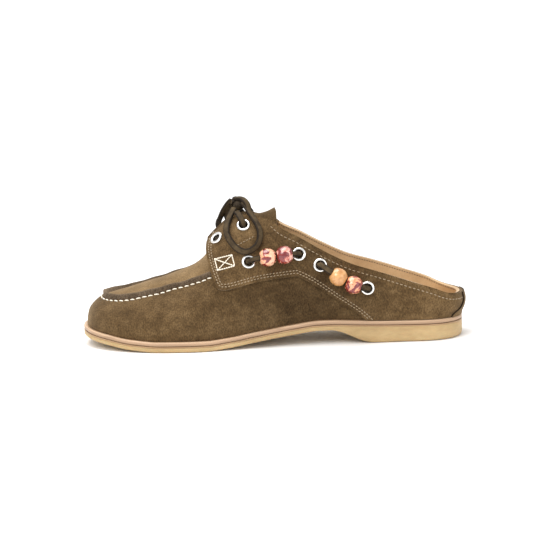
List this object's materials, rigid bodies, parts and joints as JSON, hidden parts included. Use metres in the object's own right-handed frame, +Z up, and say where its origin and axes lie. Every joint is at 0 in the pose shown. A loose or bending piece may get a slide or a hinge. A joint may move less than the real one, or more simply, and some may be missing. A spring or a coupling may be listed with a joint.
{
  "type": "clog",
  "caption": "Left low-backed boat-shoe clog in suede, with an apron seam, side laces carrying round beads, a tied bow over a tongue, and a crepe sole with a low heel.",
  "frame": {"origin": "middle of the heel's flat rest on the floor", "axes": "toe to -X, outer side of the foot to -Y, +Z up"},
  "size_m": [0.2699, 0.094, 0.1013],
  "materials": {
    "suede": "napped suede",
    "suede_apron": "napped suede",
    "midsole_leather": "smooth edge",
    "crepe": "crinkled crepe",
    "lining_leather": "smooth lining",
    "eyelet_metal": "satin",
    "lace_leather": "waxed lace",
    "bead_marbled": "lacquered, marbled",
    "bead_wood": "lacquered"
  },
  "bodies": {
    "root": {"apron_seam": "suede", "back_strip": "suede", "bead_1": "bead_marbled", "bead_2": "bead_marbled", "bead_3": "bead_wood", "bead_4": "bead_marbled", "eyelet_inner_a": "eyelet_metal", "eyelet_inner_b": "eyelet_metal", "eyelet_inner_c": "eyelet_metal", "eyelet_inner_d": "eyelet_metal", "eyelet_inner_e": "eyelet_metal", "eyelet_inner_f": "eyelet_metal", "eyelet_outer_a": "eyelet_metal", "eyelet_outer_b": "eyelet_metal", "eyelet_outer_c": "eyelet_metal", "eyelet_outer_d": "eyelet_metal", "eyelet_outer_e": "eyelet_metal", "eyelet_outer_f": "eyelet_metal", "insole": "lining_leather", "lace_end_back": "lace_leather", "lace_end_front": "lace_leather", "lace_front_bar": "lace_leather", "lace_inner_cd": "lace_leather", "lace_inner_ef": "lace_leather", "lace_knot": "lace_leather", "lace_loop_inner": "lace_leather", "lace_loop_outer": "lace_leather", "lace_outer_cd": "lace_leather", "lace_outer_ef": "lace_leather", "lace_top_bar": "lace_leather", "midsole": "midsole_leather", "outsole": "crepe", "saddle": "suede", "tongue": "suede", "upper": "suede_apron"}
  },
  "joints": []
}
